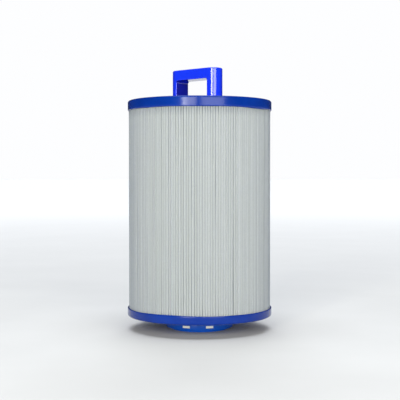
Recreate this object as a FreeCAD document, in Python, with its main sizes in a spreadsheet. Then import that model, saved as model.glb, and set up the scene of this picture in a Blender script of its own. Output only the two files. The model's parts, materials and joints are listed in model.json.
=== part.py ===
"""Pleated filter cartridge for a spa skimmer, as an assembly of its separate pieces.

Millimetres. The origin is the centre of the outlet ring's bottom face, on which the cartridge
stands. +Z runs up its axis to the handle, and the handle's bar lies along X.
"""
import FreeCAD
import Part

import math
import os
import re

import Sketcher

SIZES = {
    # outline
    "cap_radius": 76.2,
    "cap_to_cap": 226.5,
    "top_cap_height": 10.5,
    "bottom_cap_height": 8.8,
    "cap_round": 2.2,
    "lip_round": 0.9,
    # pleats, and the channels in the caps that hold their ends
    "pleat_count": 174,
    "tip_radius": 75.0,
    "root_radius": 34.0,
    "sheet_thick": 0.5,
    "tip_bend": 1.0,
    "root_bend": 0.33,
    "channel_gap": 0.1,
    "top_channel_floor": 4.0,
    "bottom_channel_floor": 3.0,
    "seam_depth": 7.0,
    "seam_gap": 0.02,
    # perforated core
    "core_radius": 33.0,
    "core_bore": 30.0,
    "slot_width": 9.0,
    "slot_height": 7.5,
    "slot_pitch": 11.5,
    "slot_rows": 17,
    "slot_columns": 8,
    "first_slot": 26.0,
    # neck below the bottom cap
    "neck_drop": 14.0,
    "neck_radius": 35.6,
    "neck_bore": 33.2,
    "waist_radius": 34.6,
    "neck_groove": 1.2,
    "anchor_radius": 40.0,
    "anchor_thick": 1.5,
    "ring_radius": 30.0,
    "outlet_bore": 27.0,
    "ring_height": 2.5,
    "shelf_thick": 2.0,
    "neck_turn": -52.2,
    # snap windows in the neck, in pairs, and the tabs on the core that fill them
    "window_pairs": 3,
    "window_angle": 20.0,
    "window_width": 8.0,
    "window_height": 2.6,
    "tab_root": 1.0,
    "tab_proud": 2.2,
    "tab_gap": 0.15,
    # plug and base disc of the handle
    "disc_radius": 36.5,
    "disc_sunk": 1.5,
    "disc_proud": 1.5,
    "collar_height": 3.0,
    "plug_radius": 29.8,
    "plug_length": 12.0,
    "plug_wall": 2.5,
    # loop of the handle
    "loop_shift": -3.3,
    "loop_length": 63.2,
    "loop_depth": 19.4,
    "loop_height": 34.0,
    "loop_end_round": 9.2,
    "loop_edge_round": 1.6,
    "grip_width": 42.4,
    "grip_top": 23.0,
    "grip_corner": 2.6,
    "grip_edge_round": 0.8,
    # shallow relief in the top face of the top cap
    "relief_inner": 43.0,
    "relief_outer": 67.0,
    "relief_depth": 1.2,
    # how far a cut reaches past each face of the wall it goes through
    "cut_over": 1.0,
}

# lengths closer than this count as equal
NEAR = 1e-4

doc = FreeCAD.newDocument("filter_cartridge")
sheet = doc.addObject("Spreadsheet::Sheet", "Sizes")
for row, (name, value) in enumerate(SIZES.items(), start=1):
    sheet.set(f"A{row}", name)
    sheet.set(f"B{row}", str(value))
    sheet.setAlias(f"B{row}", name)
doc.recompute()

# heights that several pieces share
CAP_FACE = "(neck_drop + cap_to_cap)"
CORE_FOOT = "(ring_height + shelf_thick)"
CORE_TOP = f"({CAP_FACE} - disc_sunk - collar_height)"
MEDIA_FOOT = "(neck_drop + bottom_channel_floor)"
MEDIA_TOP = f"({CAP_FACE} - top_channel_floor)"

# the two windows of a pair, and how far each is turned from the middle of its pair
SIDES = (("left", "-window_angle"), ("right", "window_angle"))


def bound(text):
    """The expression with each name of a size pointed at its cell."""
    return re.sub(r"[a-z]+(_[a-z]+)+", lambda found: "Sizes." + found.group(0), str(text))


def amount(text):
    """What the expression comes to now."""
    return float(sheet.evalExpression(bound(text)))


def bind(item, **properties):
    """Binds properties, with __ for a dot in their names, to expressions."""
    for name, text in properties.items():
        item.setExpression(name.replace("__", "."), bound(text))


def new_body(name):
    body = doc.addObject("PartDesign::Body", name)
    body.Label = name
    return body


def origin_part(body, role):
    return next(item for item in body.Origin.OriginFeatures if item.Role == role)


def new_sketch(body, name, plane):
    sketch = body.newObject("Sketcher::SketchObject", name)
    sketch.AttachmentSupport = (origin_part(body, plane), [""])
    sketch.MapMode = "FlatFace"
    return sketch


def pin_point(sketch, line, end, axis, text):
    """Holds one coordinate of a point at an expression, measured from the sketch's origin."""
    if amount(text) == 0:
        sketch.addConstraint(Sketcher.Constraint("PointOnObject", line, end, -2 if axis == "X" else -1))
        return
    index = sketch.addConstraint(
        Sketcher.Constraint(f"Distance{axis}", -1, 1, line, end, amount(text))
    )
    sketch.setExpression(f"Constraints[{index}]", bound(text))


def closed_loop(sketch, corners):
    """Adds a closed polygon to a sketch through corners, each a pair of expressions."""
    base = sketch.GeometryCount
    spots = [FreeCAD.Vector(amount(across), amount(up), 0) for across, up in corners]
    for start, end in zip(spots, spots[1:] + spots[:1]):
        sketch.addGeometry(Part.LineSegment(start, end), False)
    for line in range(len(spots)):
        following = base + (line + 1) % len(spots)
        sketch.addConstraint(Sketcher.Constraint("Coincident", base + line, 2, following, 1))
    for line, (across, up) in enumerate(corners, start=base):
        pin_point(sketch, line, 1, "X", across)
        pin_point(sketch, line, 1, "Y", up)


def outline(body, name, plane, corners):
    """A sketch of one closed polygon."""
    sketch = new_sketch(body, name, plane)
    closed_loop(sketch, corners)
    return sketch


def turned(body, name, corners):
    """A solid of revolution about Z from corners given as radius and height."""
    sketch = outline(body, name + "_section", "XZ_Plane", corners)
    feature = body.newObject("PartDesign::Revolution", name)
    feature.Profile = (sketch, [""])
    feature.ReferenceAxis = (sketch, ["V_Axis"])
    feature.Angle = 360
    doc.recompute()
    return feature


def centred(width, low, high):
    """The corners of a rectangle centred across the sketch."""
    half = f"{width} / 2"
    return [(f"-{half}", low), (half, low), (half, high), (f"-{half}", high)]


def edges_where(feature, test):
    return [f"Edge{i}" for i, edge in enumerate(feature.Shape.Edges, start=1) if test(edge)]


def rounded(body, name, base, test, radius):
    """A fillet on the edges of base that pass the test."""
    feature = body.newObject("PartDesign::Fillet", name)
    feature.Base = (base, edges_where(base, test))
    bind(feature, Radius=radius)
    doc.recompute()
    return feature


def circle_at(radius, height):
    """A test for the full circle of that radius at that height, both expressions."""
    wanted_radius, wanted_height = amount(radius), amount(height)

    def test(edge):
        return (
            isinstance(edge.Curve, Part.Circle)
            and abs(edge.Curve.Radius - wanted_radius) < NEAR
            and abs(edge.Curve.Center.z - wanted_height) < NEAR
        )

    return test


def radial_box(body, kind, name, angle, inner, depth, width, low, height):
    """A box that reaches outwards from radius inner, turned by angle about Z."""
    feature = body.newObject(kind, name)
    bind(
        feature,
        Length=depth,
        Width=width,
        Height=height,
        Placement__Base__x=f"({inner}) * cos({angle}) + ({width}) / 2 * sin({angle})",
        Placement__Base__y=f"({inner}) * sin({angle}) - ({width}) / 2 * cos({angle})",
        Placement__Base__z=low,
        Placement__Rotation__Angle=angle,
    )
    doc.recompute()
    return feature


def around(body, name, original, count):
    """Repeats a feature count times around Z."""
    feature = body.newObject("PartDesign::PolarPattern", name)
    feature.Originals = [original]
    feature.Axis = (origin_part(body, "Z_Axis"), [""])
    feature.Angle = 360
    bind(feature, Occurrences=count)
    body.Tip = feature
    doc.recompute()
    return feature


def top_end_cap():
    """Cast ring: a channel below for the pleats' ends, and a seat above for the handle's disc."""
    body = new_body("top_end_cap")
    foot = f"{CAP_FACE} - top_cap_height"
    lip_inner = "tip_radius + channel_gap"
    relief_floor = f"{CAP_FACE} - relief_depth"
    ring = turned(
        body,
        "ring",
        [
            ("core_radius", MEDIA_TOP),
            (lip_inner, MEDIA_TOP),
            (lip_inner, foot),
            ("cap_radius", foot),
            ("cap_radius", CAP_FACE),
            ("relief_outer", CAP_FACE),
            ("relief_outer - relief_depth", relief_floor),
            ("relief_inner + relief_depth", relief_floor),
            ("relief_inner", CAP_FACE),
            ("disc_radius", CAP_FACE),
            ("disc_radius", f"{CAP_FACE} - disc_sunk"),
            ("core_radius", f"{CAP_FACE} - disc_sunk"),
        ],
    )
    shoulder = rounded(body, "shoulder", ring, circle_at("cap_radius", CAP_FACE), "cap_round")
    rounded(body, "lip", shoulder, circle_at("cap_radius", foot), "lip_round")
    return body


def bottom_end_cap():
    """Cast ring: a channel above for the pleats' ends, and a grip on the neck's anchor flange.

    A small groove keeps its flat face clear of the neck's band.
    """
    body = new_body("bottom_end_cap")
    crest = "neck_drop + bottom_cap_height"
    lip_inner = "tip_radius + channel_gap"
    flange_foot = f"{MEDIA_FOOT} - anchor_thick"
    ring = turned(
        body,
        "ring",
        [
            ("waist_radius", "neck_drop + neck_groove"),
            ("waist_radius + neck_groove", "neck_drop"),
            ("cap_radius", "neck_drop"),
            ("cap_radius", crest),
            (lip_inner, crest),
            (lip_inner, MEDIA_FOOT),
            ("anchor_radius", MEDIA_FOOT),
            ("anchor_radius", flange_foot),
            ("waist_radius", flange_foot),
        ],
    )
    shoulder = rounded(body, "shoulder", ring, circle_at("cap_radius", "neck_drop"), "cap_round")
    rounded(body, "lip", shoulder, circle_at("cap_radius", crest), "lip_round")
    return body


def core_tube():
    """Perforated tube with pairs of snap tabs near its foot."""
    body = new_body("core_tube")
    turned(
        body,
        "tube",
        [
            ("core_bore", CORE_FOOT),
            ("core_radius", CORE_FOOT),
            ("core_radius", CORE_TOP),
            ("core_bore", CORE_TOP),
        ],
    )
    for side, turn in SIDES:
        tab = radial_box(
            body,
            "PartDesign::AdditiveBox",
            f"{side}_tab",
            turn,
            "core_radius - tab_root",
            "tab_root + tab_proud",
            "window_width - 2 * tab_gap",
            f"{CORE_FOOT} + tab_gap",
            "window_height - 2 * tab_gap",
        )
        around(body, f"{side}_tabs", tab, "window_pairs")
    around(body, "slots", slot_column(body), "slot_columns")
    bind(body, Placement__Rotation__Angle="neck_turn")
    return body


def slot_column(body):
    """One column of slots through the tube's wall, as a single pocket."""
    sketch = new_sketch(body, "slot_outlines", "XZ_Plane")
    for row in range(int(amount("slot_rows"))):
        low = f"first_slot + {row} * slot_pitch"
        closed_loop(sketch, centred("slot_width", low, f"{low} + slot_height"))
    pocket = body.newObject("PartDesign::Pocket", "slot_column")
    pocket.Profile = (sketch, [""])
    pocket.Type = "Length"
    bind(pocket, Length="core_radius + cut_over")
    doc.recompute()
    return pocket


def outlet_adapter():
    """Stepped neck: anchor flange, band with pairs of snap windows, shelf and outlet ring."""
    body = new_body("outlet_adapter")
    turned(
        body,
        "shell",
        [
            ("outlet_bore", "0"),
            ("ring_radius", "0"),
            ("ring_radius", "ring_height"),
            ("neck_radius", "ring_height"),
            ("neck_radius", "neck_drop"),
            ("waist_radius", "neck_drop"),
            ("waist_radius", f"{MEDIA_FOOT} - anchor_thick"),
            ("anchor_radius", f"{MEDIA_FOOT} - anchor_thick"),
            ("anchor_radius", MEDIA_FOOT),
            ("neck_bore", MEDIA_FOOT),
            ("neck_bore", CORE_FOOT),
            ("outlet_bore", CORE_FOOT),
        ],
    )
    for side, turn in SIDES:
        window = radial_box(
            body,
            "PartDesign::SubtractiveBox",
            f"{side}_window",
            turn,
            "neck_bore - cut_over",
            "neck_radius - neck_bore + 2 * cut_over",
            "window_width",
            CORE_FOOT,
            "window_height",
        )
        around(body, f"{side}_windows", window, "window_pairs")
    bind(body, Placement__Rotation__Angle="neck_turn")
    return body


def loop_box(body, kind, name, length, width, low, height):
    """A box about the middle of the handle's loop, with length along X."""
    feature = body.newObject(kind, name)
    bind(
        feature,
        Length=length,
        Width=width,
        Height=height,
        Placement__Base__x=f"loop_shift - ({length}) / 2",
        Placement__Base__y=f"-({width}) / 2",
        Placement__Base__z=low,
    )
    doc.recompute()
    return feature


def upright(low, high):
    """A test for straight edges along Z that lie between two heights."""
    bottom, top = amount(low) - NEAR, amount(high) + NEAR

    def test(edge):
        ends = [vertex.Point for vertex in edge.Vertexes]
        return (
            isinstance(edge.Curve, Part.Line)
            and (ends[0] - ends[1]).cross(FreeCAD.Vector(0, 0, 1)).Length < 1e-6
            and all(bottom <= end.z <= top for end in ends)
        )

    return test


def level(height):
    """A test for edges that lie in the plane at that height."""
    wanted = amount(height)
    return lambda edge: abs(edge.BoundBox.ZMin - wanted) < NEAR and abs(edge.BoundBox.ZMax - wanted) < NEAR


def lift_handle():
    """Closed loop on a base disc, with a hollow plug below that closes the core."""
    body = new_body("lift_handle")
    disc_foot = f"{CAP_FACE} - disc_sunk"
    disc_top = f"{CAP_FACE} + disc_proud"
    loop_top = f"{CAP_FACE} + loop_height"
    grip_top = f"{CAP_FACE} + grip_top"
    plug_foot = f"{CORE_TOP} - plug_length"
    plug_bore = "plug_radius - plug_wall"
    turned(
        body,
        "base",
        [
            ("0", disc_foot),
            (plug_bore, disc_foot),
            (plug_bore, plug_foot),
            ("plug_radius", plug_foot),
            ("plug_radius", CORE_TOP),
            ("core_radius", CORE_TOP),
            ("core_radius", disc_foot),
            ("disc_radius", disc_foot),
            ("disc_radius", disc_top),
            ("0", disc_top),
        ],
    )
    block = loop_box(
        body,
        "PartDesign::AdditiveBox",
        "block",
        "loop_length",
        "loop_depth",
        disc_foot,
        "disc_sunk + loop_height",
    )
    ends = rounded(body, "ends", block, upright(disc_top, loop_top), "loop_end_round")
    crown = rounded(body, "crown", ends, level(loop_top), "loop_edge_round")
    grip = loop_box(
        body,
        "PartDesign::SubtractiveBox",
        "grip",
        "grip_width",
        "loop_depth + 2 * cut_over",
        disc_top,
        "grip_top - disc_proud",
    )
    half_grip, shift = amount("grip_width") / 2, amount("loop_shift")

    def grip_corner(edge):
        middle = edge.CenterOfMass
        return (
            abs(abs(middle.x - shift) - half_grip) < NEAR
            and abs(middle.z - amount(grip_top)) < NEAR
            and abs(middle.y) < NEAR
        )

    corners = rounded(body, "grip_corners", grip, grip_corner, "grip_corner")

    def grip_rim(edge):
        box = edge.BoundBox
        return (
            box.ZMin > amount(disc_top) - NEAR
            and box.ZMax < amount(grip_top) + NEAR
            and box.ZMax > amount(disc_top) + NEAR
            and abs(box.YMax - box.YMin) < NEAR
            and max(abs(box.XMin - shift), abs(box.XMax - shift)) < half_grip + NEAR
        )

    rounded(body, "grip_rim", corners, grip_rim, "grip_edge_round")
    return body


def polar(radius, angle):
    return FreeCAD.Vector(radius * math.cos(angle), radius * math.sin(angle), 0)


class Pleat:
    """One wall of the folded sheet, between a tip fold at angle 0 and the next root fold."""

    def __init__(self):
        half = amount("sheet_thick") / 2
        self.step = 2 * math.pi / amount("pleat_count")
        self.tip_bend = amount("tip_bend")
        self.root_bend = amount("root_bend")
        self.tip = polar(amount("tip_radius") - self.tip_bend - half, 0)
        self.root = polar(amount("root_radius") + self.root_bend + half, self.step / 2)
        across = self.root - self.tip
        lean = math.acos((self.tip_bend + self.root_bend) / across.Length)
        heading = math.atan2(across.y, across.x) - lean
        self.normal = polar(1, heading)
        self.half = half

    def face(self, side):
        """The wall's ends on one face of the sheet: side is 1 outside the tips and -1 inside."""
        at_tip = self.tip + self.normal * (self.tip_bend + side * self.half)
        at_root = self.root - self.normal * (self.root_bend - side * self.half)
        return at_tip, at_root

    def crest(self, side):
        """The outermost point of the tip fold on one face."""
        return self.tip + polar(self.tip_bend + side * self.half, 0)

    def valley(self, side):
        """The innermost point of the root fold on one face."""
        return self.root - polar(self.root_bend - side * self.half, self.step / 2)

    def turned_by(self, point, angle, mirrored=False):
        """The point turned about Z, after mirroring in the tip's own plane where asked."""
        flat = FreeCAD.Vector(point.x, -point.y if mirrored else point.y, 0)
        return FreeCAD.Rotation(FreeCAD.Vector(0, 0, 1), math.degrees(angle)).multVec(flat)


def sheet_edges(pleat, side):
    """One face of the folded sheet, from the seam round to the seam."""
    count = int(amount("pleat_count"))
    at_tip, at_root = pleat.face(side)
    edges = []
    for i in range(count):
        here, following = i * pleat.step, (i + 1) * pleat.step
        down = pleat.turned_by(at_tip, here), pleat.turned_by(at_root, here)
        up = pleat.turned_by(at_root, following, True), pleat.turned_by(at_tip, following, True)
        edges.append(Part.makeLine(*down))
        edges.append(Part.Arc(down[1], pleat.turned_by(pleat.valley(side), here), up[0]).toShape())
        edges.append(Part.makeLine(*up))
        if i < count - 1:
            crest = pleat.turned_by(pleat.crest(side), following)
            start = pleat.turned_by(at_tip, following)
            edges.append(Part.Arc(up[1], crest, start).toShape())
    return edges


def upright_prism(label, edges):
    """A plain solid on a closed outline, as tall as the pleats."""
    face = Part.Face(Part.Wire(Part.__sortEdges__(edges)))
    height = amount(MEDIA_TOP) - amount(MEDIA_FOOT)
    item = doc.addObject("Part::Feature", label)
    item.Label = label
    item.Shape = face.extrude(FreeCAD.Vector(0, 0, height))
    bind(item, Placement__Base__z=MEDIA_FOOT, Placement__Rotation__Angle="neck_turn + 180")
    return item


def pleated_media():
    """The folded sheet, open at its seam, where its last pleat has two free ends."""
    pleat = Pleat()
    outside, inside = sheet_edges(pleat, 1), sheet_edges(pleat, -1)
    ends = [
        Part.makeLine(outside[0].Vertexes[0].Point, inside[0].Vertexes[0].Point),
        Part.makeLine(outside[-1].Vertexes[-1].Point, inside[-1].Vertexes[-1].Point),
    ]
    return upright_prism("pleated_media", outside + inside + ends)


def seam_bead():
    """The adhesive bead between the two free ends of the sheet."""
    pleat = Pleat()
    at_tip, at_root = pleat.face(-1)
    wall = (at_root - at_tip).normalize()
    clear = pleat.normal * -amount("seam_gap")
    outer = at_tip + clear
    inner = outer + wall * amount("seam_depth")
    corners = [outer, inner, pleat.turned_by(inner, 0, True), pleat.turned_by(outer, 0, True)]
    edges = [Part.makeLine(a, b) for a, b in zip(corners, corners[1:] + corners[:1])]
    return upright_prism("seam_bead", edges)


def check_and_export(pieces):
    """Writes each piece's STEP file once every object and shape is sound."""
    doc.recompute()
    for item in doc.Objects:
        if {"Invalid", "Error"} & set(item.State):
            raise RuntimeError(f"{item.Name} is {item.State}")
    for piece in pieces:
        if piece.Shape.isNull() or not piece.Shape.isValid():
            raise RuntimeError(f"{piece.Label} has no sound shape")
    os.makedirs("parts", exist_ok=True)
    for piece in pieces:
        piece.Shape.exportStep(f"parts/{piece.Label}.step")
        print(piece.Label, len(piece.Shape.Solids), "solid", round(piece.Shape.Volume), "mm3")


MAKERS = (
    lift_handle,
    top_end_cap,
    pleated_media,
    seam_bead,
    core_tube,
    bottom_end_cap,
    outlet_adapter,
)
check_and_export([make() for make in MAKERS])
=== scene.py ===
"""Looks of the pleated filter cartridge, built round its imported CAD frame, in metres.

The folded media, the two cast end caps and the neck are modelled again here in full detail. The
handle, the core and the seam's bead keep their CAD shape.
"""

import json
import math

import bpy
import numpy as np
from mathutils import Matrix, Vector


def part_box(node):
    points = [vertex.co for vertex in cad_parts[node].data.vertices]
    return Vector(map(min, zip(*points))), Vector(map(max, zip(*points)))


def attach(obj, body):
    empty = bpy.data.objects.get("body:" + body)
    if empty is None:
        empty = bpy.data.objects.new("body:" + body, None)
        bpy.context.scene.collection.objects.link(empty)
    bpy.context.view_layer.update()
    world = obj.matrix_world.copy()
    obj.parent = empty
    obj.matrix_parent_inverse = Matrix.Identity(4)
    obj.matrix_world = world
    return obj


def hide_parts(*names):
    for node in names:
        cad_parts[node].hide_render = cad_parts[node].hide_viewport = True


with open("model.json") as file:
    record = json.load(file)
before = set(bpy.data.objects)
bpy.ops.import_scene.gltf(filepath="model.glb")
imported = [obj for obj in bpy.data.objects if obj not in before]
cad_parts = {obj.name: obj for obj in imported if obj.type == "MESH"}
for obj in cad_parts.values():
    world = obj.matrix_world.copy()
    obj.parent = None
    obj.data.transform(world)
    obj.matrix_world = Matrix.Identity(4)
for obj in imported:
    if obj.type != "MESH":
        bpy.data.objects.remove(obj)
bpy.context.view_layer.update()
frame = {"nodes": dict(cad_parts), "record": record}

MM = 0.001
TURN = 2 * math.pi
rng = np.random.default_rng(174)  # used by the media alone, in a fixed order

# ---------------------------------------------------------------- sizes read from the frame

MOUNTS = {mount["name"]: mount for mount in frame["record"]["mounts"]}


def radius_of(name):
    return MOUNTS[name]["dims"]["r_mm"] * MM


media_low, media_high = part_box("pleated_media")
top_low, top_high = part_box("top_end_cap")
bottom_low, bottom_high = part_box("bottom_end_cap")
core_low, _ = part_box("core_tube")
_, handle_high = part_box("lift_handle")
_, neck_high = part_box("outlet_adapter")

CAP_RADIUS = top_high.x
TIP_RADIUS = media_high.x
OUTLET_BORE = radius_of("outlet_bore")
RING_RADIUS = radius_of("outlet_ring")
NECK_RADIUS = radius_of("neck_band")
RING_TOP = MOUNTS["outlet_ring"]["dims"]["length_mm"] * MM
SHELF_TOP = core_low.z

# ---------------------------------------------------------------- sizes shared with the CAD source

PLEATS = 174
SHEET = 0.5 * MM
TIP_BEND = 1.0 * MM
ROOT_BEND = 0.33 * MM
ROOT_RADIUS = 34.0 * MM
CORE_RADIUS = 33.0 * MM
NECK_BORE = 33.2 * MM
WAIST_RADIUS = 34.6 * MM
NECK_GROOVE = 1.2 * MM
ANCHOR_RADIUS = neck_high.x
ANCHOR_FOOT = neck_high.z - 1.5 * MM
RELIEF_INNER = 43.0 * MM
RELIEF_OUTER = 67.0 * MM
RELIEF_DEPTH = 1.2 * MM
DISC_RADIUS = handle_high.x
DISC_FOOT = top_high.z - 1.5 * MM
DISC_PROUD = 1.5 * MM
LOOP_SHIFT = -3.3 * MM
LOOP_HEIGHT = 34.0 * MM
GRIP_WIDTH = 42.4 * MM
GRIP_TOP = 23.0 * MM
NECK_TURN = math.radians(-52.2)
WINDOW_ANGLE = math.radians(20.0)
WINDOW_WIDTH = 8.0 * MM
WINDOW_HEIGHT = 2.6 * MM
SEAM_TURN = NECK_TURN + math.pi


# ---------------------------------------------------------------- mesh helpers

def new_object(name, points, faces, smooth=True):
    mesh = bpy.data.meshes.new(name)
    mesh.from_pydata([tuple(p) for p in points], [], [tuple(f) for f in faces])
    mesh.validate()
    mesh.update()
    if smooth:
        mesh.polygons.foreach_set("use_smooth", [True] * len(mesh.polygons))
    thing = bpy.data.objects.new(name, mesh)
    bpy.context.scene.collection.objects.link(thing)
    return thing


def grid_faces(rings, around, close_rings=False, close_around=True):
    """Quads between rings of points, each of them around points long."""
    ring = np.arange(rings if close_rings else rings - 1)[:, None]
    spot = np.arange(around if close_around else around - 1)[None, :]
    after, beside = (ring + 1) % rings, (spot + 1) % around
    quads = [
        ring * around + spot,
        ring * around + beside,
        after * around + beside,
        after * around + spot,
    ]
    return np.stack([q.astype(int) for q in np.broadcast_arrays(*quads)], axis=-1).reshape(-1, 4)


def arc(centre, radius, start, end, steps):
    """Points on an arc in the plane of radius and height, angles in degrees."""
    angles = np.radians(np.linspace(start, end, steps))
    return [(centre[0] + radius * math.cos(a), centre[1] + radius * math.sin(a)) for a in angles]


def smooth_noise(angles, waves, strength, source):
    """A smooth random function of angle with about that many waves round the circle."""
    shares = (1.0, 0.6, 0.35)
    total = np.zeros_like(angles)
    for share in shares:
        number = max(1, round(waves * source.uniform(0.6, 1.4)))
        total += share * np.sin(number * angles + source.uniform(0, TURN))
    return strength * total / sum(shares)


# ---------------------------------------------------------------- materials

MOST = (0.3, 0.7)  # the range that nearly all of a noise texture's values lie in


class Shader:
    """A material's node tree, built up by short calls."""

    def __init__(self, name):
        self.material = bpy.data.materials.new(name)
        self.material.use_nodes = True
        self.tree = self.material.node_tree
        self.tree.nodes.clear()
        self.output = self.tree.nodes.new("ShaderNodeOutputMaterial")
        self.surface = self.add("ShaderNodeBsdfPrincipled")
        self.link(self.surface.outputs["BSDF"], self.output.inputs["Surface"])
        self.place = self.add("ShaderNodeTexCoord").outputs["Object"]

    def add(self, kind, **settings):
        node = self.tree.nodes.new(kind)
        for key, value in settings.items():
            setattr(node, key, value)
        return node

    def link(self, source, target):
        self.tree.links.new(source, target)

    def feed(self, socket, value):
        """Links a node's output to a socket, or sets a plain value on it."""
        if isinstance(value, bpy.types.NodeSocket):
            self.link(value, socket)
        else:
            socket.default_value = value

    def set(self, **values):
        """Feeds the surface's sockets, named with _ for each space."""
        for key, value in values.items():
            self.feed(self.surface.inputs[key.replace("_", " ")], value)

    def stretched(self, scale, source=None):
        """Coordinates scaled by axis. A scale under 1 draws a texture out along that axis."""
        node = self.add("ShaderNodeMapping")
        self.link(source or self.place, node.inputs["Vector"])
        node.inputs["Scale"].default_value = scale
        return node.outputs["Vector"]

    def noise(self, scale, detail=3.0, roughness=0.55, vector=None):
        node = self.add("ShaderNodeTexNoise")
        self.link(vector or self.place, node.inputs["Vector"])
        node.inputs["Scale"].default_value = scale
        node.inputs["Detail"].default_value = detail
        node.inputs["Roughness"].default_value = roughness
        return node.outputs["Fac"]

    def cells(self, scale, vector=None):
        """The distance to the nearest of many scattered points, in cells."""
        node = self.add("ShaderNodeTexVoronoi", feature="F1")
        self.link(vector or self.place, node.inputs["Vector"])
        node.inputs["Scale"].default_value = scale
        return node.outputs["Distance"]

    def ramp(self, value, low, high, to_low=0.0, to_high=1.0):
        """Maps low..high to to_low..to_high, and holds the ends beyond."""
        node = self.add("ShaderNodeMapRange", clamp=True)
        self.link(value, node.inputs["Value"])
        limits = {"From Min": low, "From Max": high, "To Min": to_low, "To Max": to_high}
        for key, number in limits.items():
            node.inputs[key].default_value = number
        return node.outputs["Result"]

    def math(self, operation, a, b=0.0):
        node = self.add("ShaderNodeMath", operation=operation)
        self.feed(node.inputs[0], a)
        self.feed(node.inputs[1], b)
        return node.outputs["Value"]

    def mix(self, factor, a, b):
        """A colour between a and b. The node's sockets 6, 7 and 2 are the ones for colours."""
        node = self.add("ShaderNodeMix", data_type="RGBA", blend_type="MIX")
        self.feed(node.inputs[0], factor)
        self.feed(node.inputs[6], a)
        self.feed(node.inputs[7], b)
        return node.outputs[2]

    def attribute(self, name):
        return self.add("ShaderNodeAttribute", attribute_name=name).outputs["Fac"]

    def coordinates(self):
        """The shading point's x, y and z, in metres."""
        node = self.add("ShaderNodeSeparateXYZ")
        self.link(self.place, node.inputs[0])
        return node.outputs

    def inside(self, low, high):
        """1 in the box between two corners, given as (x, z), and 0 outside."""
        place = self.coordinates()
        within = 1.0
        for axis, least, most in zip("XZ", low, high):
            above = self.math("GREATER_THAN", place[axis], least)
            below = self.math("LESS_THAN", place[axis], most)
            within = self.math("MULTIPLY", self.math("MULTIPLY", above, below), within)
        return within

    def bump(self, height, distance, strength=1.0, onto=None):
        node = self.add("ShaderNodeBump")
        node.inputs["Strength"].default_value = strength
        node.inputs["Distance"].default_value = distance
        self.link(height, node.inputs["Height"])
        if onto is not None:
            self.link(onto, node.inputs["Normal"])
        return node.outputs["Normal"]

    def edge_wear(self, radius, flat, sharp):
        """1 on sharp edges and 0 on flats, by how far a bevelled normal turns."""
        bevel = self.add("ShaderNodeBevel", samples=6)
        bevel.inputs["Radius"].default_value = radius
        geometry = self.add("ShaderNodeNewGeometry")
        dot = self.add("ShaderNodeVectorMath", operation="DOT_PRODUCT")
        self.link(bevel.outputs["Normal"], dot.inputs[0])
        self.link(geometry.outputs["Normal"], dot.inputs[1])
        return self.ramp(dot.outputs["Value"], flat, sharp)


def linear(red, green, blue):
    """A colour given by its 8-bit display values, as the linear colour that shaders take."""
    def one(value):
        value /= 255
        return value / 12.92 if value <= 0.04045 else ((value + 0.055) / 1.055) ** 2.4

    return one(red), one(green), one(blue), 1.0


def cast_urethane():
    """Cast polyurethane of the end caps: soft gloss, faint clouding and mould ripple."""
    s = Shader("cast_urethane")
    cloud = s.ramp(s.noise(38.0, 4.0), 0.35, 0.7)
    base = s.mix(cloud, linear(2, 39, 124), linear(4, 47, 138))
    worn = s.edge_wear(0.6 * MM, 0.985, 0.9)
    base = s.mix(s.math("MULTIPLY", worn, 0.35), base, linear(52, 98, 190))
    specks = s.ramp(s.cells(900.0), 0.05, 0.16, 1.0, 0.0)
    base = s.mix(s.math("MULTIPLY", specks, 0.25), base, linear(40, 84, 176))
    gloss = s.ramp(s.noise(120.0, 5.0), *MOST, 0.13, 0.21)
    s.set(Base_Color=base, Roughness=gloss, Specular_IOR_Level=0.24)
    ripple = s.bump(s.noise(60.0, 2.0), 0.12 * MM, 0.6)
    s.set(Normal=s.bump(s.noise(1500.0, 3.0), 0.012 * MM, 0.7, onto=ripple))
    return s.material


def moulded_plastic(name, dark, light, gloss, shine, shade_box=None):
    """Injection-moulded plastic: glossy, slight flow marks, fine scratches and rubbed edges.

    gloss is the roughness where it is smooth and where it is scratched. The last argument is the
    box of a hole whose walls get painted shade, a darker navy standing in for the shade inside it,
    given by its low and high corners.
    """
    s = Shader(name)
    flow = s.ramp(s.noise(22.0, 3.0, vector=s.stretched((1.0, 1.0, 0.35))), *MOST)
    base = s.mix(flow, dark, light)
    worn = s.edge_wear(0.5 * MM, 0.985, 0.88)
    base = s.mix(s.math("MULTIPLY", worn, 0.3), base, linear(120, 140, 245))
    scratches = s.ramp(s.noise(260.0, 6.0, 0.7, vector=s.stretched((1.0, 1.0, 0.12))), 0.45, 0.75)
    if shade_box is not None:
        # Painted shade: the walls inside the hole are darkened towards navy, standing in for the
        # shade that falls there.
        base = s.mix(s.math("MULTIPLY", s.inside(*shade_box), 0.85), base, linear(14, 14, 120))
    rough = s.ramp(scratches, 0.0, 1.0, *gloss)
    s.set(Base_Color=base, Roughness=rough, Specular_IOR_Level=shine)
    waves = s.bump(s.noise(55.0, 2.0), 0.05 * MM, 0.5)
    s.set(Normal=s.bump(s.noise(1800.0, 3.0), 0.006 * MM, 0.6, onto=waves))
    return s.material


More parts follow.
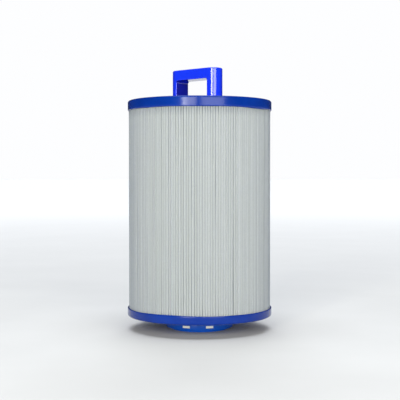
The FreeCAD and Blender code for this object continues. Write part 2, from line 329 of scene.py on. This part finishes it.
def bonded_polyester():
    """Spun polyester web: random fibres, pressed bond points, and painted light down in the folds:
    a warm, bright tone standing in for light scattered through the sheet.

    At a slant the web is darkened towards a cooler grey: painted shade for the light falling off
    towards the sides. Just under the top cap it is darker too, most of all down in the folds:
    painted shadow of the cap.
    """
    s = Shader("bonded_polyester")
    coordinates = s.add("ShaderNodeUVMap", uv_map="sheet").outputs["UV"]
    depth = s.attribute("fold_depth")
    tint = s.attribute("pleat_tint")
    fibres = s.noise(2600.0, 5.0, 0.7, vector=s.stretched((1.0, 0.35, 1.0), coordinates))
    web = s.noise(420.0, 4.0, 0.6, vector=coordinates)
    bonds = s.ramp(s.cells(1150.0, coordinates), 0.12, 0.34, 1.0, 0.0)
    base = s.mix(s.ramp(web, *MOST), linear(160, 165, 169), linear(168, 173, 177))
    base = s.mix(s.math("MULTIPLY", bonds, 0.3), base, linear(149, 155, 160))
    base = s.mix(s.ramp(tint, 0.0, 1.0, 0.0, 0.6), base, linear(148, 154, 154))
    # Painted light: the folds are tinted a bright warm tone, standing in for light scattered into
    # them through the sheet.
    base = s.mix(s.ramp(depth, 0.02, 0.12, 0.0, 0.85), base, linear(226, 228, 176))
    # Painted shade: the web is darkened towards a cooler grey at a slant, standing in for the
    # light falling off towards the sides.
    facing_shade = s.add("ShaderNodeLayerWeight").outputs["Facing"]
    base = s.mix(s.ramp(facing_shade, 0.3, 0.9, 0.0, 0.7), base, linear(112, 122, 142))
    # Painted shadow: darker just under the top cap, and darker still down in the folds there.
    under_cap_shadow = s.ramp(s.coordinates()["Z"], top_low.z - 9.0 * MM, top_low.z)
    base = s.mix(s.math("MULTIPLY", under_cap_shadow, 0.5), base, linear(118, 125, 131))
    fold_shadow = s.ramp(depth, 0.015, 0.06, 0.0, 0.9)
    fold_shadow = s.math("MULTIPLY", s.math("POWER", under_cap_shadow, 1.5), fold_shadow)
    base = s.mix(fold_shadow, base, linear(38, 44, 52))
    s.set(
        Base_Color=base,
        Roughness=s.ramp(fibres, *MOST, 0.74, 0.92),
        Specular_IOR_Level=0.25,
        Sheen_Weight=0.06,
        Sheen_Roughness=0.45,
        Subsurface_Weight=0.45,
        Subsurface_Radius=(1.0, 1.0, 0.8),
        Subsurface_Scale=2.0 * MM,
    )
    pressed = s.bump(s.math("SUBTRACT", 1.0, bonds), 0.05 * MM, 0.5)
    s.set(Normal=s.bump(fibres, 0.035 * MM, 0.6, onto=pressed))
    return s.material


def core_plastic():
    """Matte natural-white plastic of the core."""
    s = Shader("core_plastic")
    cloud = s.ramp(s.noise(45.0, 4.0), *MOST)
    base = s.mix(cloud, linear(240, 239, 230), linear(248, 247, 240))
    s.set(Base_Color=base, Roughness=s.ramp(s.noise(300.0, 4.0), *MOST, 0.42, 0.58))
    s.set(Normal=s.bump(s.noise(900.0, 3.0), 0.02 * MM, 0.5))
    return s.material


def hot_melt():
    """Amber-white hot-melt adhesive."""
    s = Shader("hot_melt")
    cloud = s.ramp(s.noise(120.0, 3.0), *MOST)
    base = s.mix(cloud, linear(232, 222, 186), linear(242, 236, 212))
    rough = s.ramp(s.noise(80.0, 2.0), *MOST, 0.3, 0.45)
    s.set(Base_Color=base, Roughness=rough, Subsurface_Weight=0.2)
    s.set(Normal=s.bump(s.noise(140.0, 3.0), 0.15 * MM, 0.7))
    return s.material


def floor_paint():
    """Pale matte studio floor, faintly mottled, a little deeper in tone near the cartridge."""
    s = Shader("floor_paint")
    mottle = s.ramp(s.noise(6.0, 3.0), *MOST)
    away = s.add("ShaderNodeVectorMath", operation="LENGTH")
    s.link(s.place, away.inputs[0])
    outer = s.ramp(away.outputs["Value"], 0.3, 3.5)
    base = s.mix(mottle, linear(207, 206, 203), linear(211, 210, 207))
    base = s.mix(outer, base, linear(254, 252, 247))
    s.set(Base_Color=base, Roughness=0.9, Specular_IOR_Level=0.0)
    return s.material


# ---------------------------------------------------------------- the folded media

LEVELS = 48  # rows of points up the sheet
TIP_POINTS = 13  # round each outer fold
ROOT_POINTS = 5  # round each inner fold
WALL_SHARES = (0.06, 0.2, 0.5)  # where a wall has points, from its tip to its root
FLATNESS = 6.0  # 2 is a round tip, and more is a squarer one
TYPICAL_BEND, BEND_SPREAD, WIDEST_BEND, SEAM_BEND = 1.055, 0.02, 1.07, 0.95  # radii in mm
TIP_GAP = 0.02 * MM  # the least space between two folds
TIP_WANDER = (0.1, 0.06, 0.05, 0.05, 0.07, 0.16)  # of one tip, in mm, from the bottom up
PINCH_DEPTH = 2.2 * MM  # how far in from each end the folds are pinched fully
PINCH_REACH = 6.0 * MM  # how far from there the pinch fades
PINCH = (0.05, 0.45)  # the least and most that a bend shrinks by, in mm
LOWER_PINCH = 0.35  # share of the pinch that the bottom end has
SHORTFALL = 0.16 * MM  # how unevenly the tips fall short of the tip circle
SEAM_SHORTFALL = 0.1 * MM
TAPER = 0.35  # how much narrower the media is at the bottom, in mm
LEAN_DRIFT, LEAN_SPREAD = 4.0, 7.0  # degrees, changing up a fold and all along it
BOW = 0.05 * MM  # how far a wall bulges


def spread_out(places, need, ends, rounds=400, close_enough=1e-7):
    """Moves neighbours apart until each gap is at least what it needs, and leaves the ends."""
    for _ in range(rounds):
        short = np.maximum(need - np.diff(places), 0)
        if short.max() < close_enough:
            break
        places[:-1] -= short * 0.5
        places[1:] += short * 0.5
        places[0], places[-1] = ends
    return places


def tip_places(bends):
    """For a few heights, how far along the circle of tips each tip lies, the seam at both ends."""
    pitch = TURN * (TIP_RADIUS - TIP_BEND - SHEET / 2) / PLEATS
    even = np.arange(PLEATS + 1) * pitch
    angles = even / even[-1] * TURN
    common = smooth_noise(angles, 17, 0.25 * MM, rng) + smooth_noise(angles, 41, 0.1 * MM, rng)
    common += rng.normal(0, 0.06 * MM, PLEATS + 1)
    widths = 2 * bends + SHEET
    need = (widths[:-1] + widths[1:]) / 2 + TIP_GAP
    rows = []
    for own in TIP_WANDER:
        wander = smooth_noise(angles, 13, 1.2 * own * MM, rng)
        wander = wander + rng.normal(0, own * MM, PLEATS + 1)
        places = even + common + wander
        places[0], places[-1] = 0.0, even[-1]
        rows.append(spread_out(places, need, (0.0, even[-1])))
    return np.array(rows), pitch


def blended(rows, levels):
    """The rows as smooth functions of height, read at that many levels."""
    at = np.linspace(0, len(rows) - 1, levels)
    low = np.minimum(at.astype(int), len(rows) - 2)
    share = (at - low)[:, None]
    share = share * share * (3 - 2 * share)
    return rows[low] * (1 - share) + rows[low + 1] * share


def sheet_heights():
    """Heights of the levels, closer together near both ends."""
    share = np.linspace(-1, 1, LEVELS)
    share = np.sin(share * math.pi / 2) * 0.75 + share * 0.25
    return (media_low.z + media_high.z) / 2 + share * (media_high.z - media_low.z) / 2


def fold_lines():
    """For each level: bends, angles and leans of the tips, then centres of tip and root folds."""
    full = np.minimum(rng.normal(TYPICAL_BEND, BEND_SPREAD, PLEATS + 1), WIDEST_BEND) * MM
    full[0] = full[-1] = SEAM_BEND * MM
    rows, pitch = tip_places(full)
    places = blended(rows, LEVELS)
    heights = sheet_heights()
    from_end = np.minimum(heights - media_low.z, media_high.z - heights) - PINCH_DEPTH
    pinch = np.exp(-np.maximum(from_end, 0) / PINCH_REACH)[:, None]
    pinch = pinch * np.where(heights > heights.mean(), 1.0, LOWER_PINCH)[:, None]
    bends = full[None, :] - pinch * rng.uniform(*PINCH, PLEATS + 1)[None, :] * MM
    tip_circle = TIP_RADIUS - SHEET / 2
    angles = places / (pitch * PLEATS) * TURN
    short = np.abs(rng.normal(0, SHORTFALL, (4, PLEATS + 1)))
    short += np.abs(smooth_noise(np.linspace(0, TURN, PLEATS + 1), 23, 0.25 * MM, rng))
    short[:, 0] = short[:, -1] = SEAM_SHORTFALL
    short = blended(short, LEVELS) + np.linspace(TAPER, 0.0, LEVELS)[:, None] * MM
    tip = tip_circle - bends - short
    root = ROOT_RADIUS + SHEET / 2 + ROOT_BEND
    root_angles = (np.arange(PLEATS) + 0.5) * TURN / PLEATS
    tips = np.stack([tip * np.cos(angles), tip * np.sin(angles)], -1)
    roots = np.stack([root * np.cos(root_angles), root * np.sin(root_angles)], -1)
    roots = np.broadcast_to(roots, (LEVELS, PLEATS, 2))
    leans = blended(np.radians(rng.normal(0, LEAN_DRIFT, (5, PLEATS + 1))), LEVELS)
    leans += np.radians(rng.normal(0, LEAN_SPREAD, PLEATS + 1))
    return bends, angles, leans, tips, root_angles, roots


def wall_normal(tips, roots, bends, side):
    """Headings of the normals of the straight walls. side is 1 for the wall after a tip."""
    across = roots - tips
    length = np.linalg.norm(across, axis=-1)
    heading = np.arctan2(across[..., 1], across[..., 0])
    return heading - side * np.arccos((bends + ROOT_BEND) / length)


def heading_of(angle):
    return np.stack([np.cos(angle), np.sin(angle)], -1)


def swept(start, through, end, share):
    """A heading part of the way from start to end, by way of through."""
    first = start + wrap(through - start) * min(1.0, 2 * share)
    return first + wrap(end - through) * max(0.0, 2 * share - 1)


def tip_fold(outward, heading, lean):
    """Where a flattened fold lies at a heading, in bends, and its normal's heading there.

    A lean slants the front of the fold to one side and leaves its width as it is.
    """
    off = wrap(heading - outward)
    ahead, aside = np.abs(np.cos(off)), np.abs(np.sin(off))
    reach = (ahead**FLATNESS + aside**FLATNESS) ** (-1 / FLATNESS)
    normal = np.arctan2(aside ** (FLATNESS - 1), ahead ** (FLATNESS - 1))
    normal = np.where(np.cos(off) < 0, math.pi - normal, normal)
    front = np.clip(reach * np.cos(off), 0, 1)
    lateral = reach * np.sin(off)
    out = reach * np.cos(off) + lateral * np.tan(lean) * front
    place = out[:, None] * heading_of(outward)
    place += lateral[:, None] * heading_of(outward + math.pi / 2)
    return place, outward + np.sign(off) * normal - lean * front


def pleated_sheet():
    """The sheet's middle line at each level, its normals, and each point's depth and tone."""
    bends, angles, leans, tips, root_angles, roots = fold_lines()
    after = wall_normal(tips[:, :-1], roots, bends[:, :-1], 1)
    before = wall_normal(tips[:, 1:], roots, bends[:, 1:], -1)
    bow = blended(rng.normal(0, BOW, (7, 2 * PLEATS)), LEVELS)
    tones = rng.random(PLEATS + 1)
    middle, normals, depth, tint = [], [], [], []

    def put(point, heading, deep, tone):
        middle.append(point)
        normals.append(heading_of(heading))
        depth.append(np.full(LEVELS, deep))
        tint.append(np.full(LEVELS, tone))

    def wall(tip, root, heading, swell, tone, shares):
        for share in shares:
            bulge = swell[:, None] * 4 * share * (1 - share) ** 3 * heading_of(heading)
            put(tip + (root - tip) * share + bulge, heading, share, tone)

    down, up = (0.0, *WALL_SHARES, 1.0), (1.0, *reversed(WALL_SHARES), 0.0)
    for i in range(PLEATS):
        bend, next_bend = bends[:, i, None], bends[:, i + 1, None]
        tip = tips[:, i] + bend * heading_of(after[:, i])
        root = roots[:, i] - ROOT_BEND * heading_of(after[:, i])
        wall(tip, root, after[:, i], bow[:, 2 * i], tones[i], down)
        inward = np.full(LEVELS, root_angles[i] + math.pi)
        for k in range(1, ROOT_POINTS - 1):
            share = k / (ROOT_POINTS - 1)
            heading = swept(after[:, i] + math.pi, inward, before[:, i] + math.pi, share)
            put(roots[:, i] + ROOT_BEND * heading_of(heading), heading - math.pi, 1.0, tones[i])
        tip = tips[:, i + 1] + next_bend * heading_of(before[:, i])
        root = roots[:, i] - ROOT_BEND * heading_of(before[:, i])
        wall(tip, root, before[:, i], bow[:, 2 * i + 1], tones[i + 1], up)
        if i < PLEATS - 1:
            for k in range(1, TIP_POINTS - 1):
                outward = angles[:, i + 1]
                heading = swept(before[:, i], outward, after[:, i + 1], k / (TIP_POINTS - 1))
                place, normal = tip_fold(outward, heading, leans[:, i + 1])
                put(tips[:, i + 1] + next_bend * place, normal, 0.0, tones[i + 1])
    return tuple(np.array(part) for part in (middle, normals, depth, tint))


def wrap(angle):
    return (angle + math.pi) % TURN - math.pi


def build_media():
    """The folded sheet as one closed solid, and the length of it flat."""
    middle, normals, depth, tint = pleated_sheet()
    count = len(middle)
    heights = sheet_heights()
    ahead, aside = math.cos(SEAM_TURN), math.sin(SEAM_TURN)
    turn = np.array([[ahead, -aside], [aside, ahead]])
    faces_of = []
    for side in (1, -1):
        flat = (middle + side * normals * SHEET / 2) @ turn.T
        tall = np.broadcast_to(heights, (count, LEVELS))[..., None]
        faces_of.append(np.concatenate([flat, tall], -1))
    outside, inside = faces_of
    loop = np.concatenate([outside, inside[::-1]])
    points = loop.reshape(-1, 3)
    around = len(loop)
    quads = grid_faces(around, LEVELS, close_rings=True, close_around=False)
    caps = []
    for level in (0, LEVELS - 1):
        for i in range(count - 1):
            a, b = i * LEVELS + level, (i + 1) * LEVELS + level
            c, d = (around - 2 - i) * LEVELS + level, (around - 1 - i) * LEVELS + level
            caps.append((a, d, c, b) if level else (a, b, c, d))
    thing = new_object("pleats", points, [*quads.tolist(), *caps])
    steps = np.linalg.norm(np.diff(middle[:, LEVELS // 2], axis=0), axis=1)
    along = np.concatenate([[0], np.cumsum(steps)])
    add_sheet_data(thing, along, depth, tint, heights)
    return thing, along[-1]


def add_sheet_data(thing, along, depth, tint, heights):
    """Per-point facts for the material, and a UV map of the flat sheet, in metres."""
    mesh = thing.data
    for name, values in (("fold_depth", depth), ("pleat_tint", tint)):
        both = np.concatenate([values, values[::-1]]).reshape(-1)
        layer = mesh.attributes.new(name, "FLOAT", "POINT")
        layer.data.foreach_set("value", both.astype(np.float32))
    flat = np.concatenate([along, along[::-1]])
    u = np.repeat(flat, LEVELS)
    v = np.tile(heights, len(flat))
    corner = np.zeros(len(mesh.loops), np.int32)
    mesh.loops.foreach_get("vertex_index", corner)
    layer = mesh.uv_layers.new(name="sheet")
    places = np.stack([u[corner], v[corner]], -1)
    layer.data.foreach_set("uv", places.astype(np.float32).reshape(-1))


# ---------------------------------------------------------------- turned pieces

CAP_BEND = 2.2 * MM  # rounding of a cap's outer edge
CAP_LIP = 0.6 * MM  # rounding of its lip
WAIST_BEND = 0.15 * MM  # rounding beside the neck's groove
NECK_EDGE = 0.35 * MM  # rounding of the neck's turned edges
WINDOW_EDGE = 0.15 * MM  # rounding of the windows' edges
TOP_FLASH_TURN = math.radians(2)
BOTTOM_FLASH_TURN = math.radians(-72)
FLASH_SPREAD = math.radians(13)
TOP_SEED, BOTTOM_SEED = 11, 29


def lathe(name, profile, around, shift=None):
    """A closed ring of revolution from a closed profile of (radius, height) points.

    shift takes the angles and the profile and returns what to add to radius and height.
    """
    profile = np.array(profile)
    angles = np.arange(around) / around * TURN
    radius = np.broadcast_to(profile[:, :1], (len(profile), around)).copy()
    height = np.broadcast_to(profile[:, 1:], (len(profile), around)).copy()
    if shift:
        more_radius, more_height = shift(angles, profile)
        radius += more_radius
        height += more_height
    points = np.stack([radius * np.cos(angles), radius * np.sin(angles), height], -1)
    faces = grid_faces(len(profile), around, close_rings=True)
    return new_object(name, points.reshape(-1, 3), faces)


def cap_section(face, foot, inner, seat):
    """Half of a cap's section, from its inner edge out over the face, the wall and the lip.

    face is the height of the flat outer face, foot of the lip that the pleats go into.
    """
    up = 1 if face > foot else -1
    bend, lip = CAP_BEND, CAP_LIP
    points = list(seat)
    points += [
        (CAP_RADIUS - bend + bend * math.sin(a), face - up * (bend - bend * math.cos(a)))
        for a in np.radians(np.linspace(0, 90, 9))
    ]
    points += [(CAP_RADIUS, face + (foot - face) * share) for share in (0.4, 0.6, 0.75)]
    points += [
        (CAP_RADIUS - lip + lip * math.cos(a), foot + up * (lip - lip * math.sin(a)))
        for a in np.radians(np.linspace(0, 90, 6))
    ]
    potting = foot + up * 1.3 * MM
    points += [
        (TIP_RADIUS + 0.45 * MM, foot),
        (TIP_RADIUS + 0.2 * MM, foot + up * 0.12 * MM),
        (TIP_RADIUS - 0.1 * MM, foot + up * 0.45 * MM),
        (TIP_RADIUS - 0.6 * MM, foot + up * 0.95 * MM),
        (TIP_RADIUS - 1.6 * MM, potting),
        (TIP_RADIUS - 8.0 * MM, potting + up * 0.2 * MM),
        (ROOT_RADIUS + 6.5 * MM, potting + up * 0.2 * MM),
        (inner, potting + up * 0.2 * MM),
    ]
    return points


def cap_shift(face, foot, seed, flash_turn):
    """Shrink ripple in the wall, and flash that wicks down between the pleats at the lip.

    The flash is heaviest at the angle flash_turn.
    """
    up = 1 if face > foot else -1
    source = np.random.default_rng(seed)

    def shift(angles, profile):
        wall = -np.abs(smooth_noise(angles, 9, 0.07 * MM, source)) - np.abs(
            smooth_noise(angles, 31, 0.03 * MM, source)
        )
        patches = 0.25 * np.clip(smooth_noise(angles, 7, 1.0, source), 0, 1)
        patches += 0.8 * np.exp(-((wrap(angles - flash_turn) / FLASH_SPREAD) ** 2))
        beads = np.abs(np.sin(angles * PLEATS / 2 + smooth_noise(angles, 25, 1.5, source)))
        flash = (0.14 + 1.6 * patches) * beads * MM
        flash = flash + np.abs(smooth_noise(angles, 60, 0.12 * MM, source))
        sag = smooth_noise(angles, 5, 0.12 * MM, source)
        radius, height = profile[:, :1], profile[:, 1:]
        on_wall = (radius > CAP_RADIUS - 1.0 * MM).astype(float)
        near_lip = np.exp(-(((height - foot) / (0.8 * MM)) ** 2))
        inner_lip = near_lip * np.exp(-(((radius - TIP_RADIUS - 0.3 * MM) / (0.45 * MM)) ** 2))
        return on_wall * wall, up * (near_lip * np.abs(sag) - inner_lip * flash * 0.9)

    return shift


def build_caps():
    """The top cap with its relief and the disc's seat, and the bottom cap with the neck's."""
    face, foot = top_high.z, top_low.z
    floor = face - RELIEF_DEPTH
    seat = [
        (CORE_RADIUS, DISC_FOOT),
        (DISC_RADIUS, DISC_FOOT),
        (DISC_RADIUS, face - 0.25 * MM),
        (DISC_RADIUS + 0.25 * MM, face),
        (RELIEF_INNER - 0.6 * MM, face),
        (RELIEF_INNER, face - 0.1 * MM),
        (RELIEF_INNER + 1.0 * MM, floor),
        (RELIEF_INNER + 1.8 * MM, floor - 0.1 * MM),
        ((RELIEF_INNER + RELIEF_OUTER) / 2, floor),
        (RELIEF_OUTER - 1.8 * MM, floor - 0.1 * MM),
        (RELIEF_OUTER - 1.0 * MM, floor),
        (RELIEF_OUTER, face - 0.1 * MM),
        (RELIEF_OUTER + 0.6 * MM, face),
    ]
    section = cap_section(face, foot, CORE_RADIUS, seat)
    shift = cap_shift(face, foot, TOP_SEED, TOP_FLASH_TURN)
    top = lathe("cap_top", section[::-1], 4 * PLEATS, shift)
    face, foot = bottom_low.z, bottom_high.z
    seat = [
        (ANCHOR_RADIUS, neck_high.z),
        (ANCHOR_RADIUS, ANCHOR_FOOT),
        (WAIST_RADIUS, ANCHOR_FOOT),
        (WAIST_RADIUS, face + NECK_GROOVE),
        (WAIST_RADIUS + NECK_GROOVE - 0.1 * MM, face + 0.12 * MM),
        (WAIST_RADIUS + NECK_GROOVE + WAIST_BEND, face),
        (45.0 * MM, face),
        (60.0 * MM, face),
    ]
    section = cap_section(face, foot, ANCHOR_RADIUS, seat)
    shift = cap_shift(face, foot, BOTTOM_SEED, BOTTOM_FLASH_TURN)
    bottom = lathe("cap_bottom", section, 4 * PLEATS, shift)
    return top, bottom


def build_neck():
    """The stepped neck, with every visible edge rounded and its windows cut through."""
    edge = NECK_EDGE
    step, cap_face = RING_TOP, bottom_low.z
    profile = [
        (OUTLET_BORE + edge, 0.0),
        *arc((RING_RADIUS - edge, edge), edge, -90, 0, 5),
        (RING_RADIUS, step - edge),
        *arc((RING_RADIUS + edge, step - edge), edge, 180, 90, 5)[1:],
        *arc((NECK_RADIUS - edge, step + edge), edge, -90, 0, 5),
        (NECK_RADIUS, SHELF_TOP),
        (NECK_RADIUS, cap_face - edge),
        *arc((NECK_RADIUS - edge, cap_face - edge), edge, 0, 90, 4),
        (WAIST_RADIUS, cap_face),
        (WAIST_RADIUS, ANCHOR_FOOT),
        (ANCHOR_RADIUS, ANCHOR_FOOT),
        (ANCHOR_RADIUS, neck_high.z),
        (NECK_BORE, neck_high.z),
        (NECK_BORE, SHELF_TOP),
        (OUTLET_BORE + edge, SHELF_TOP),
        *arc((OUTLET_BORE + edge, SHELF_TOP - edge), edge, 90, 180, 4)[1:],
        *arc((OUTLET_BORE + edge, edge), edge, 180, 270, 4)[:-1],
    ]
    neck = lathe("neck", profile, 360)
    cutter = window_cutter()
    cut = neck.modifiers.new("windows", "BOOLEAN")
    cut.object = cutter
    cut.operation = "DIFFERENCE"
    cut.solver = "EXACT"
    apply_modifiers(neck)
    bpy.data.objects.remove(cutter)
    soften = neck.modifiers.new("soften", "BEVEL")
    soften.width = WINDOW_EDGE
    soften.segments = 2
    soften.limit_method = "ANGLE"
    soften.angle_limit = math.radians(50)
    soften.harden_normals = True
    return neck


def apply_modifiers(thing):
    """Keeps the result of a piece's modifiers as its mesh."""
    graph = bpy.context.evaluated_depsgraph_get()
    mesh = bpy.data.meshes.new_from_object(thing.evaluated_get(graph))
    thing.modifiers.clear()
    thing.data = mesh


def window_cutter():
    """One block for each snap window, as a single mesh, which reaches past both faces."""
    over = 1 * MM
    block = ((0, 1, 3, 2), (4, 6, 7, 5), (0, 4, 5, 1), (2, 3, 7, 6), (0, 2, 6, 4), (1, 5, 7, 3))
    points, faces = [], []
    for pair in range(3):
        for side in (-1, 1):
            angle = NECK_TURN + pair * TURN / 3 + side * WINDOW_ANGLE
            out = Vector((math.cos(angle), math.sin(angle), 0))
            across = Vector((-out.y, out.x, 0))
            base = len(points)
            for radius in (NECK_BORE - over, NECK_RADIUS + over):
                for half in (-WINDOW_WIDTH / 2, WINDOW_WIDTH / 2):
                    for height in (SHELF_TOP, SHELF_TOP + WINDOW_HEIGHT):
                        points.append(out * radius + across * half + Vector((0, 0, height)))
            faces += [[base + k for k in quad] for quad in block]
    return new_object("window_cutter", points, faces, smooth=False)


# ---------------------------------------------------------------- assembly

def dress(thing, material, slot_name, *nodes):
    """Gives a piece its material and body, and hides the CAD nodes that it stands for. slot_name
    is not used.
    """
    thing.data.materials.clear()
    thing.data.materials.append(material)
    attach(thing, "root")
    if nodes:
        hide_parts(*nodes)


def keep_node(name, material):
    """Gives a CAD node that stays in view its material."""
    node = frame["nodes"][name]
    node.data.materials.clear()
    node.data.materials.append(material)


urethane = cast_urethane()
media, sheet_length = build_media()
dress(media, bonded_polyester(), "media_fabric", "pleated_media")
cap_top, cap_bottom = build_caps()
dress(cap_top, urethane, "cap_urethane", "top_end_cap")
dress(cap_bottom, urethane, "cap_urethane", "bottom_end_cap")
neck = build_neck()
dress(
    neck,
    # Painted light: the neck's blues are lighter than the caps' blue, making up for the shade that
    # the neck stands in.
    moulded_plastic("neck_plastic", linear(2, 73, 179), linear(4, 82, 193), (0.2, 0.3), 0.25),
    "neck_plastic",
    "outlet_adapter",
)
loop_foot = handle_high.z - LOOP_HEIGHT
half_grip = GRIP_WIDTH / 2 + 0.1 * MM
# The box inside the handle's loop whose walls get painted shade, darker navy for the shade there.
grip_shade_box = (
    (LOOP_SHIFT - half_grip, loop_foot + DISC_PROUD + 0.3 * MM),
    (LOOP_SHIFT + half_grip, loop_foot + GRIP_TOP + 0.1 * MM),
)
keep_node(
    "lift_handle",
    moulded_plastic(
        "handle_plastic", linear(16, 46, 214), linear(22, 54, 228), (0.06, 0.11), 0.8, grip_shade_box
    ),
)
keep_node("core_tube", core_plastic())
keep_node("seam_bead", hot_melt())


# ---------------------------------------------------------------- studio

FLOOR_SIDES = 96
FLOOR_RINGS = [0.02 * 1.5**i for i in range(22)]  # radii, out to about 100 m
WARM, COOL = (1.0, 0.985, 0.9), (0.92, 0.965, 1.05)
ROOM, ROOM_STRENGTH = (0.85, 0.93, 1.0, 1.0), 0.05
BACKDROP = (0.985, 0.99, 1.0, 1.0)  # as bright as the far floor

CAMERA_AZIMUTH = 40.8
CAMERA_DISTANCE = 13.013 * CAP_RADIUS
CAMERA_HEIGHT = bottom_low.z + 1.907 * CAP_RADIUS
CAMERA_SIDE = Vector(
    (math.sin(math.radians(CAMERA_AZIMUTH)), -math.cos(math.radians(CAMERA_AZIMUTH)), 0)
)
MIDDLE = Vector((0, 0, (bottom_low.z + top_high.z) / 2))


def build_floor():
    """A wide round floor, with rings that grow outwards."""
    points = [(0, 0, 0)] + [
        (radius * math.cos(a), radius * math.sin(a), 0)
        for radius in FLOOR_RINGS
        for a in np.linspace(0, TURN, FLOOR_SIDES, endpoint=False)
    ]
    faces = [(0, 1 + i, 1 + (i + 1) % FLOOR_SIDES) for i in range(FLOOR_SIDES)]
    faces += (grid_faces(len(FLOOR_RINGS), FLOOR_SIDES) + 1)[:, ::-1].tolist()
    floor = new_object("floor", points, faces)
    floor.data.materials.append(floor_paint())


def soft_box(name, bearing, elevation, distance, size, power):
    """A warm area light aimed at the cartridge.

    bearing is in degrees to the right of the camera, seen from the cartridge.
    """
    angle = math.radians(CAMERA_AZIMUTH + bearing)
    rise = math.radians(elevation)
    out = Vector(
        (math.sin(angle) * math.cos(rise), -math.cos(angle) * math.cos(rise), math.sin(rise))
    )
    light = bpy.data.lights.new(name, "AREA")
    light.shape = "RECTANGLE"
    light.size, light.size_y = size
    light.energy = power
    light.color = WARM
    lamp = bpy.data.objects.new(name, light)
    lamp.location = MIDDLE + out * distance
    lamp.rotation_euler = (-out).to_track_quat("-Z", "Y").to_euler()
    bpy.context.scene.collection.objects.link(lamp)


def wide_sun(name, energy, spread, from_behind=0.0, mirrored=True):
    """A cool sun overhead, or from_behind degrees down towards the side away from the camera.

    spread is its size in degrees. mirrored says whether glossy surfaces show it.
    """
    light = bpy.data.lights.new(name, "SUN")
    light.energy = energy
    light.angle = math.radians(spread)
    light.color = COOL
    lamp = bpy.data.objects.new(name, light)
    tilt = math.radians(from_behind)
    towards = -CAMERA_SIDE * math.sin(tilt) + Vector((0, 0, math.cos(tilt)))
    lamp.rotation_euler = towards.to_track_quat("Z", "Y").to_euler()
    lamp.visible_glossy = mirrored
    bpy.context.scene.collection.objects.link(lamp)


def add_camera():
    """A level camera, whose view is shifted down rather than tilted."""
    lens = bpy.data.cameras.new("camera")
    lens.sensor_width = 36.0
    lens.lens = 83.93
    lens.shift_x = 0.001
    lens.shift_y = -0.0555
    lens.clip_end = 300.0
    camera = bpy.data.objects.new("camera", lens)
    camera.location = CAMERA_SIDE * CAMERA_DISTANCE + Vector((0, 0, CAMERA_HEIGHT))
    camera.rotation_euler = (math.radians(90), 0, math.radians(CAMERA_AZIMUTH))
    bpy.context.scene.collection.objects.link(camera)
    bpy.context.scene.camera = camera


def studio_world():
    """Dim cool surroundings, which the camera itself sees as a pale backdrop."""
    world = bpy.data.worlds.new("studio")
    world.use_nodes = True
    tree = world.node_tree
    tree.nodes.clear()
    room = tree.nodes.new("ShaderNodeBackground")
    backdrop = tree.nodes.new("ShaderNodeBackground")
    room.inputs["Color"].default_value = ROOM
    room.inputs["Strength"].default_value = ROOM_STRENGTH
    backdrop.inputs["Color"].default_value = BACKDROP
    path = tree.nodes.new("ShaderNodeLightPath")
    mix = tree.nodes.new("ShaderNodeMixShader")
    output = tree.nodes.new("ShaderNodeOutputWorld")
    tree.links.new(path.outputs["Is Camera Ray"], mix.inputs[0])
    tree.links.new(room.outputs[0], mix.inputs[1])
    tree.links.new(backdrop.outputs[0], mix.inputs[2])
    tree.links.new(mix.outputs[0], output.inputs["Surface"])
    return world


add_camera()
build_floor()
soft_box("strip_left", -16, 12, 3.2, (1.14, 1.64), 61.0)
soft_box("strip_core", -23.5, 12, 3.16, (0.24, 1.64), 17.0)
soft_box("panel_right", 21, 12, 3.2, (2.1, 1.64), 68.5)
wide_sun("overhead", 2.5, 50)
wide_sun("behind", 1.6, 40, from_behind=60, mirrored=False)
bpy.context.scene.world = studio_world()
bpy.context.scene.view_settings.view_transform = "Standard"
